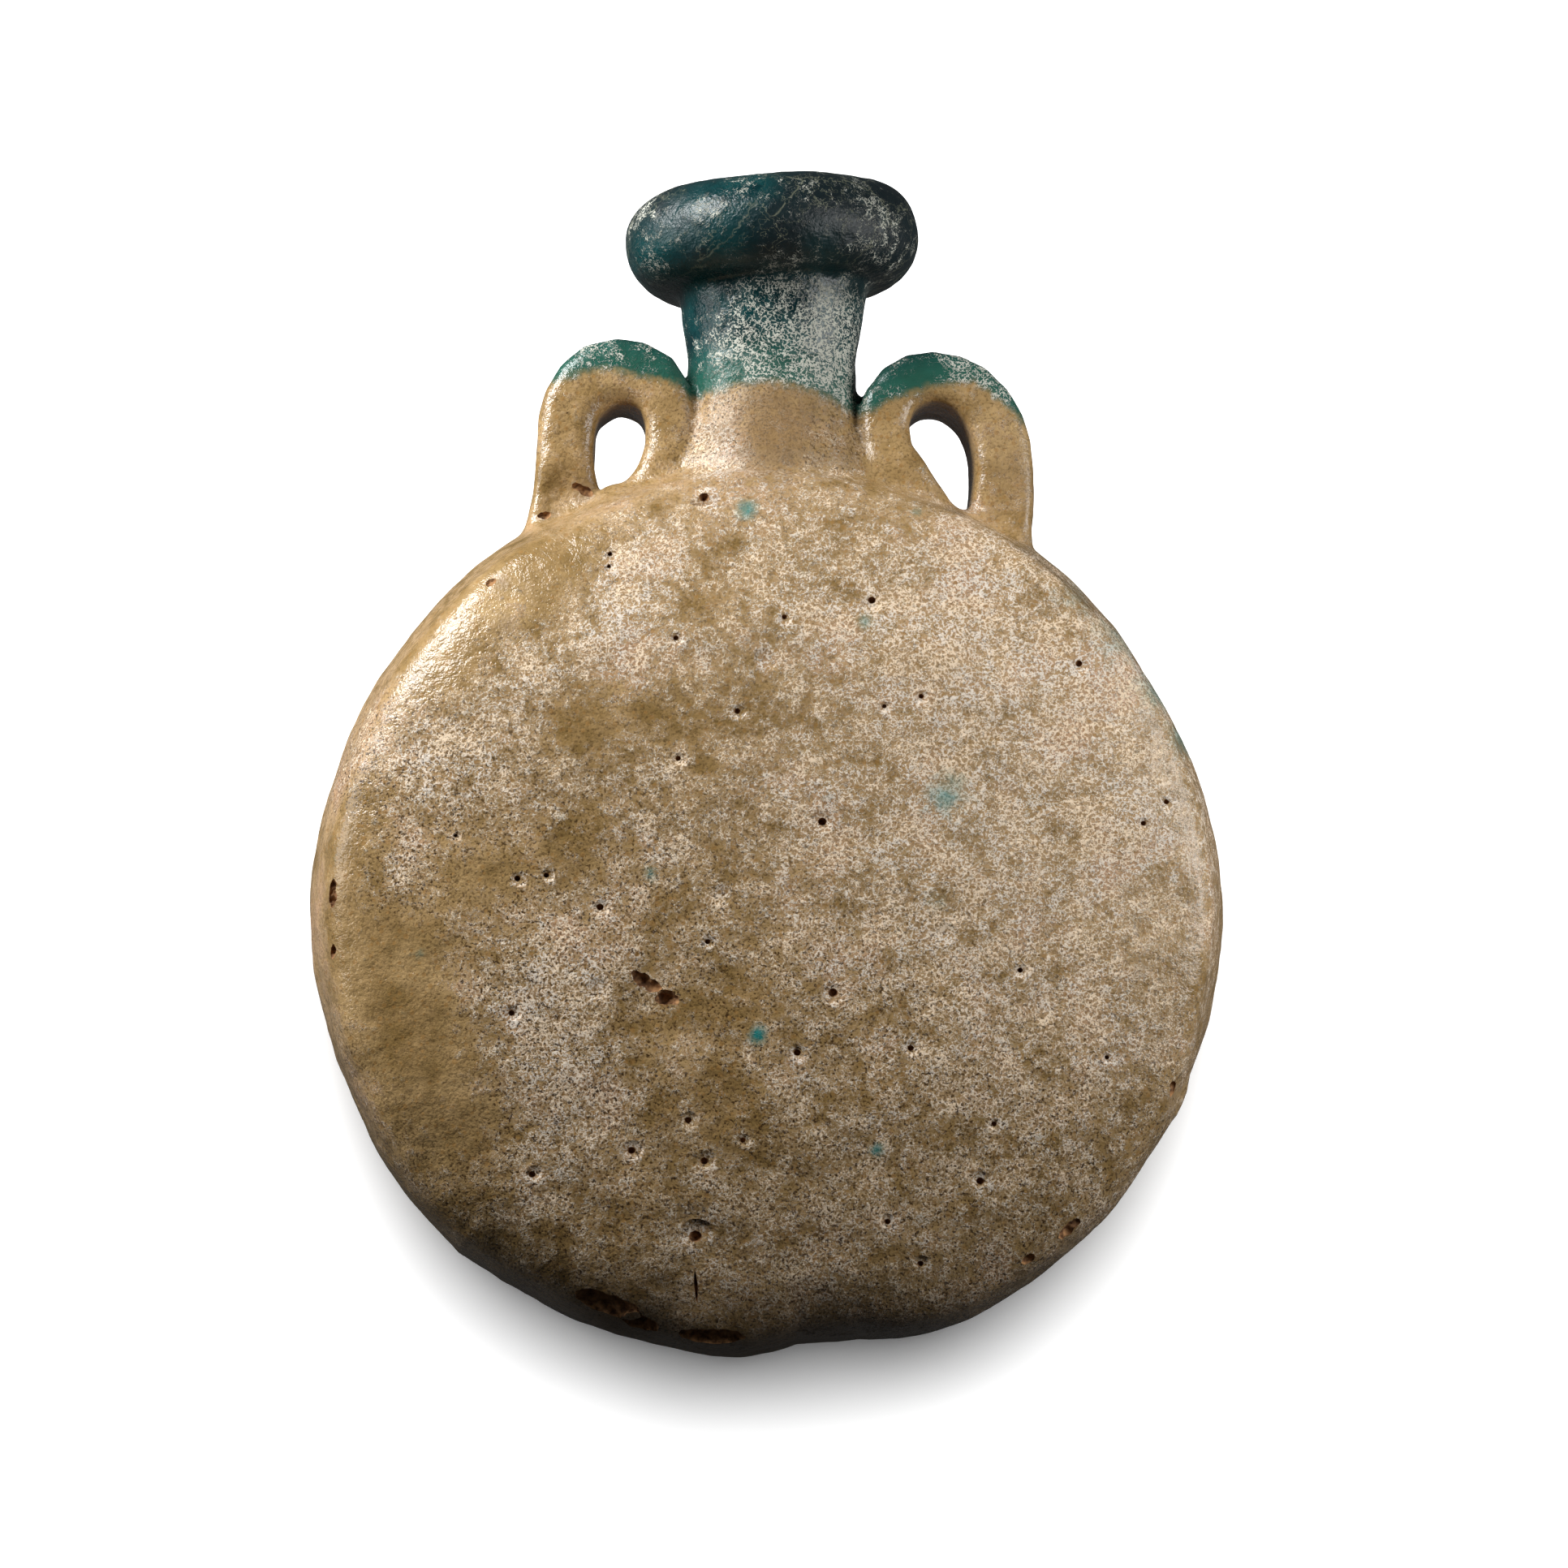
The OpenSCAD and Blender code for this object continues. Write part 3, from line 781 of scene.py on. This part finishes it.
# %% From a cover of 0 to 1 to the threads that show
def threads_of(tree, f, cover):
    width = add(tree, "MapRange", {"Value": cover, "To Min": -0.02, "To Max": 0.065})
    inside = add(tree, "Math", {0: width, 1: f["off_thread"]}, operation="SUBTRACT")
    return add(
        tree, "MapRange", {"Value": inside, "From Min": -0.014, "From Max": 0.014}, interpolation_type="SMOOTHSTEP"
    )


# %% [markdown]
# ## Lead glaze and its crust
# The lead glaze is glossy and olive to honey, with a fine crackle where it shrank more than the clay,
# and pores. Over it lies a thin tan film, and on the film the pale, dull threads of the crust.

# %% Layer the buff side
def buff_layers(tree, f):
    cover = add(tree, "Math", {0: f["patch"], 1: 1.0, 2: f["crust"]}, operation="MULTIPLY_ADD")
    cover = add(tree, "Math", {0: f["drift"], 1: 1.3, 2: cover}, operation="MULTIPLY_ADD")
    cover = add(tree, "Math", {0: f["clump"], 1: 2.3, 2: cover}, operation="MULTIPLY_ADD")
    cover = add(tree, "Math", {0: cover, 1: 2.3}, operation="SUBTRACT")
    crust = threads_of(tree, f, cover)
    tone = add(tree, "MapRange", {"Value": f["drift"], "From Min": 0.38, "From Max": 0.66})
    glaze = add(tree, "Mix", {0: tone, 6: linear("846a3f"), 7: linear("a3865b")}, 2, data_type="RGBA")
    honey = add(tree, "MapRange", {"Value": f["patch"], "From Min": 0.42, "From Max": 0.75})
    glaze = add(tree, "Mix", {0: honey, 6: glaze, 7: linear("ba9c6e")}, 2, data_type="RGBA")
    warped = add(
        tree, "VectorMath", {0: f["clump"], 1: (0.003, 0.003, 0.003), 2: f["place"]}, operation="MULTIPLY_ADD"
    )
    crackle = add(
        tree, "TexVoronoi", {"Vector": warped, "Scale": PER_MM / 4.5}, "Distance", feature="DISTANCE_TO_EDGE"
    )
    crackle = add(tree, "MapRange", {"Value": crackle, "From Max": 0.035, "To Min": 0.32, "To Max": 0.0})
    glaze = add(tree, "Mix", {0: crackle, 6: glaze, 7: linear("54401f")}, 2, data_type="RGBA")
    film = add(tree, "Math", {0: f["beige"], 1: 0.75, 2: cover}, operation="MULTIPLY_ADD")
    film = add(tree, "MapRange", {"Value": film, "From Min": 0.12, "From Max": 0.85, "To Max": 0.92})
    rosy = add(tree, "MapRange", {"Value": f["patch"], "From Min": 0.5, "From Max": 0.68})
    tan = add(tree, "Mix", {0: rosy, 6: linear("ba9d78"), 7: linear("bf9c7c")}, 2, data_type="RGBA")
    ground = add(tree, "Mix", {0: film, 6: glaze, 7: tan}, 2, data_type="RGBA")
    kind = add(tree, "MapRange", {"Value": f["drift"], "From Min": 0.42, "From Max": 0.6})
    pale = add(tree, "Mix", {0: kind, 6: linear("e2d6c8"), 7: linear("ead2b4")}, 2, data_type="RGBA")
    pale = add(tree, "Mix", {0: film, 6: linear("ddceb0"), 7: pale}, 2, data_type="RGBA")
    colour = add(tree, "Mix", {0: crust, 6: ground, 7: pale}, 2, data_type="RGBA")
    pores = add(tree, "MapRange", {"Value": f["off_thread"], "From Min": 0.1, "From Max": 0.2, "To Max": 0.55})
    dots = add(tree, "MapRange", {"Value": f["pore"], "From Min": 0.53, "From Max": 0.65, "To Max": 0.85})
    pores = add(tree, "Math", {0: pores, 1: dots}, operation="MAXIMUM")
    pores = add(tree, "Math", {0: pores, 1: f["dirt"]}, operation="MULTIPLY")
    colour = add(tree, "Mix", {0: pores, 6: colour, 7: linear("432f18")}, 2, data_type="RGBA")
    speck = add(tree, "TexVoronoi", {"Vector": f["place"], "Scale": PER_MM / 1.2}, "Color")
    reach = add(tree, "TexVoronoi", {"Vector": f["place"], "Scale": PER_MM / 1.2}, "Distance")
    speck = add(tree, "Math", {0: reach, 1: -1.5, 2: speck}, operation="MULTIPLY_ADD")
    speck = add(tree, "MapRange", {"Value": speck, "From Min": 0.16, "From Max": 0.3, "To Max": 0.5})
    colour = add(tree, "Mix", {0: speck, 6: colour, 7: linear("96703d")}, 2, data_type="RGBA")
    stain = add(tree, "Math", {0: f["clump"], 1: 0.8, 2: f["copper"]}, operation="MULTIPLY_ADD")
    stain = add(tree, "MapRange", {"Value": stain, "From Min": 0.5, "From Max": 1.3})
    colour = add(tree, "Mix", {0: stain, 6: colour, 7: linear("1f7f7c")}, 2, data_type="RGBA")
    soil = add(tree, "Math", {0: f["clump"], 1: 2.0, 2: f["soil"]}, operation="MULTIPLY_ADD")
    soil = add(tree, "MapRange", {"Value": soil, "From Min": 1.2, "From Max": 2.4, "To Max": 0.8})
    colour = add(tree, "Mix", {0: soil, 6: colour, 7: linear("7c613c")}, 2, data_type="RGBA")
    # painted shade: the bottom wall and the neck just under the ring are mixed toward dark brown
    colour = add(tree, "Mix", {0: f["painted_shade"], 6: colour, 7: linear("33271a")}, 2, data_type="RGBA")
    return colour, crust


# %% [markdown]
# ## Copper glaze
# Copper in the same glaze makes it teal: deep where it is thick on the neck, greener where it ran thin on
# the straps. Weathering turned the ring to slate, and pale flakes cling to all of it, thickest on the
# right of the neck.

# %% Layer the teal side
def teal_layers(tree, f):
    depth = add(tree, "MapRange", {"Value": f["drift"], "From Min": 0.38, "From Max": 0.66})
    glaze = add(tree, "Mix", {0: depth, 6: linear("06272a"), 7: linear("114344")}, 2, data_type="RGBA")
    thin = add(tree, "MapRange", {"Value": f["teal_mm"], "From Min": 11.0, "From Max": 3.0, "To Max": 0.6})
    glaze = add(tree, "Mix", {0: thin, 6: glaze, 7: linear("336855")}, 2, data_type="RGBA")
    slate = add(tree, "Math", {0: f["drift"], 1: 1.6, 2: f["patina"]}, operation="MULTIPLY_ADD")
    slate = add(tree, "MapRange", {"Value": slate, "From Min": 1.1, "From Max": 1.7, "To Max": 0.85})
    glaze = add(tree, "Mix", {0: slate, 6: glaze, 7: linear("12191d")}, 2, data_type="RGBA")
    cover = add(tree, "Math", {0: f["clump"], 1: 2.0, 2: f["flakes"]}, operation="MULTIPLY_ADD")
    cover = add(tree, "Math", {0: f["drift"], 1: 1.2, 2: cover}, operation="MULTIPLY_ADD")
    cover = add(tree, "Math", {0: cover, 1: 1.7}, operation="SUBTRACT")
    flake = threads_of(tree, f, cover)
    veil = add(tree, "MapRange", {"Value": cover, "From Min": 0.4, "From Max": 1.3, "To Max": 0.4})
    glaze = add(tree, "Mix", {0: veil, 6: glaze, 7: linear("76827e")}, 2, data_type="RGBA")
    colour = add(tree, "Mix", {0: flake, 6: glaze, 7: linear("c4c5b9")}, 2, data_type="RGBA")
    warped = add(
        tree, "VectorMath", {0: f["drift"], 1: (0.03, 0.03, 0.03), 2: f["place"]}, operation="MULTIPLY_ADD"
    )
    crackle = add(
        tree, "TexVoronoi", {"Vector": warped, "Scale": PER_MM / 13}, "Distance", feature="DISTANCE_TO_EDGE"
    )
    crackle = add(tree, "MapRange", {"Value": crackle, "From Max": 0.018, "To Min": 1.0, "To Max": 0.0})
    crackle = add(tree, "Math", {0: crackle, 1: f["clump"]}, operation="MULTIPLY")
    crackle = add(tree, "Math", {0: crackle, 1: f["patina"]}, operation="MULTIPLY")
    colour = add(tree, "Mix", {0: crackle, 6: colour, 7: linear("9a9c84")}, 2, data_type="RGBA")
    # painted shadow: the neck just under the mouth ring is mixed toward near black
    shade = add(tree, "Math", {0: f["painted_shade"], 1: 0.9}, operation="MULTIPLY")
    colour = add(tree, "Mix", {0: shade, 6: colour, 7: linear("0b1110")}, 2, data_type="RGBA")
    return colour, flake


# %% Build a glaze from both sides of the dip line
def dipped_glaze(name, shine):
    material = empty_material(name)
    tree = material.node_tree
    f = glaze_fields(tree)
    buff, crust = buff_layers(tree, f)
    teal, flake = teal_layers(tree, f)
    edge = add(tree, "Math", {0: f["clump"], 1: 4.0, 2: f["teal_mm"]}, operation="MULTIPLY_ADD")
    dip = add(
        tree, "MapRange", {"Value": edge, "From Min": 0.6, "From Max": 3.4}, interpolation_type="SMOOTHSTEP"
    )
    colour = add(tree, "Mix", {0: dip, 6: buff, 7: teal}, 2, data_type="RGBA")
    dull = add(tree, "Mix", {0: dip, 2: crust, 3: flake}, 0, data_type="FLOAT")
    rough = add(tree, "MapRange", {"Value": dull, "To Min": 0.1, "To Max": 0.85})
    rough = add(tree, "Math", {0: f["pore"], 1: 0.2, 2: rough}, operation="MULTIPLY_ADD")
    rough = add(tree, "Math", {0: f["patina"], 1: 0.25, 2: rough}, operation="MULTIPLY_ADD")
    rough = add(tree, "Math", {0: f["soil"], 1: 0.4, 2: rough}, operation="MULTIPLY_ADD")
    relief = add(tree, "Math", {0: dull, 1: 0.45, 2: f["clump"]}, operation="MULTIPLY_ADD")
    relief = add(tree, "Math", {0: f["pore"], 1: -0.3, 2: relief}, operation="MULTIPLY_ADD")
    bump = add(tree, "Bump", {"Height": relief, "Strength": 1.0, "Distance": 0.38 * MM})
    shader = add(
        tree, "BsdfPrincipled",
        {"Base Color": colour, "Roughness": rough, "Normal": bump, "Specular IOR Level": shine},
    )
    add(tree, "OutputMaterial", {"Surface": shader})
    print(name, "has", len(tree.nodes), "nodes")
    return material


buff_glaze = dipped_glaze("crackled_lead_glaze", 0.5)
teal_glaze = dipped_glaze("copper_glaze", 0.3)


# %% [markdown]
# ## Bare clay
# The body is low-fired earthenware, reddish brown. Where it is broken it is matt and crumbly, so it is
# very rough and has a coarse grain of about a millimetre.

# %% Build the broken clay
def broken_clay(name):
    material = empty_material(name)
    tree = material.node_tree
    place = add(tree, "TexCoord", {}, "Object")
    grain = add(tree, "TexNoise", {"Vector": place, "Scale": PER_MM / 1.2, "Detail": 3.0}, "Fac")
    tone = add(tree, "MapRange", {"Value": grain, "From Min": 0.35, "From Max": 0.65})
    colour = add(tree, "Mix", {0: tone, 6: linear("5a3a20"), 7: linear("a87c50")}, 2, data_type="RGBA")
    bump = add(tree, "Bump", {"Height": grain, "Distance": 0.4 * MM})
    shader = add(tree, "BsdfPrincipled", {"Base Color": colour, "Roughness": 0.9, "Normal": bump})
    add(tree, "OutputMaterial", {"Surface": shader})
    return material


clay = broken_clay("bare_earthenware")

# %% Dress the pieces and tie them to their nodes
for node_name, piece in PIECES.items():
    is_teal = node_name in ("neck", "mouth_ring")
    piece.data.materials[0] = teal_glaze if is_teal else buff_glaze
    piece.data.materials[1] = clay
    only(piece)
    bpy.ops.object.shade_smooth_by_angle(angle=math.radians(38))
    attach(piece, "root")
    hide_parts(node_name)
    bare = sum(face.material_index for face in piece.data.polygons)
    print(node_name, "is shown by", piece.name, "with", len(piece.data.polygons), "faces,", bare, "bare")

# %% [markdown]
# ## Floor, light and camera
# The flask lies on a white table. Its modelling light is a soft key lamp beyond the mouth and to the left,
# low enough to rake over the grit and to leave the bottom edge dark. A weaker lamp fills from the right,
# and a faint one washes the left wall. The table has a lamp of its own, high above it, as in a catalogue
# picture, and only the body casts a shadow in it. Light linking keeps the lamps apart. The table is white
# to the camera and to what looks through glass, but nearly black to the object, or it would fill the dark
# edge with light from below.

# %% Lay the table
bpy.ops.object.select_all(action="DESELECT")
bpy.ops.mesh.primitive_plane_add(size=6, location=(0, 0, 0))
table = named("table")
white = empty_material("white_table")
tree = white.node_tree
seen = add(tree, "LightPath", {}, "Is Camera Ray")
mirrored = add(tree, "LightPath", {}, "Is Glossy Ray")
through = add(tree, "LightPath", {}, "Is Transmission Ray")
seen = add(tree, "Math", {0: seen, 1: through}, operation="MAXIMUM")
seen = add(tree, "Math", {0: mirrored, 1: 0.03, 2: seen}, operation="MULTIPLY_ADD")
paper = add(tree, "Mix", {0: seen, 6: linear("202020"), 7: linear("ffffff")}, 2, data_type="RGBA")
matt = add(tree, "BsdfDiffuse", {"Color": paper})
glow = add(tree, "Math", {0: seen, 1: 0.12}, operation="MULTIPLY")
glow = add(tree, "Emission", {"Color": (1, 1, 1, 1), "Strength": glow})
both = add(tree, "AddShader", {0: matt, 1: glow})
add(tree, "OutputMaterial", {"Surface": both})
table.data.materials.append(white)


# %% Hang the lamps
def lamp(name, place_mm, target_mm, size_mm, watts, lights, shadows=()):
    data = bpy.data.lights.new(name, "AREA")
    data.shape = "DISK"
    data.size = size_mm * MM
    data.energy = watts
    hung = bpy.data.objects.new(name, data)
    bpy.context.collection.objects.link(hung)
    hung.location = Vector(place_mm) * MM
    aim = Vector(target_mm) - Vector(place_mm)
    hung.rotation_euler = aim.to_track_quat("-Z", "Y").to_euler()
    lit = bpy.data.collections.new("lit_by_" + name)
    for piece in lights:
        lit.objects.link(piece)
    hung.light_linking.receiver_collection = lit
    if shadows:
        shading = bpy.data.collections.new("shadow_in_" + name)
        for piece in shadows:
            shading.objects.link(piece)
        hung.light_linking.blocker_collection = shading
    return hung


lamp("key_lamp", (-300, 320, 210), (0, 10, 50), 230, 3.1, list(PIECES.values()))
lamp("fill_lamp", (290, 80, 200), (0, 0, 50), 240, 0.95, list(PIECES.values()))
lamp("left_wash", (-420, 120, 130), (0, 30, 50), 240, 0.6, list(PIECES.values()))
lamp("table_lamp", (-25, 330, 1200), (0, 0, 0), 900, 32, [table], [front_dish, back_dish, coil])
world = bpy.data.worlds.new("studio")
bpy.context.scene.world = world
world.use_nodes = True
sky = world.node_tree.nodes["Background"]
sky.inputs["Color"].default_value = (1, 1, 1, 1)
sky.inputs["Strength"].default_value = 0.025
bpy.context.scene.view_settings.view_transform = "Standard"

# %% Set up the camera at the photograph's angle
EYE = Vector((-25, -77, 886))
AIM = Vector((3.48, 26.21, 36))
forward = (AIM - EYE).normalized()
right = forward.cross(Vector((0, 1, 0))).normalized()
upward = right.cross(forward)
eye = bpy.data.cameras.new("photo_view")
eye.sensor_fit = "HORIZONTAL"
eye.sensor_width = 36
eye.lens = 98.42
camera = bpy.data.objects.new("photo_view", eye)
bpy.context.collection.objects.link(camera)
camera.matrix_world = Matrix.Translation(EYE * MM) @ Matrix((right, upward, -forward)).transposed().to_4x4()
bpy.context.scene.camera = camera
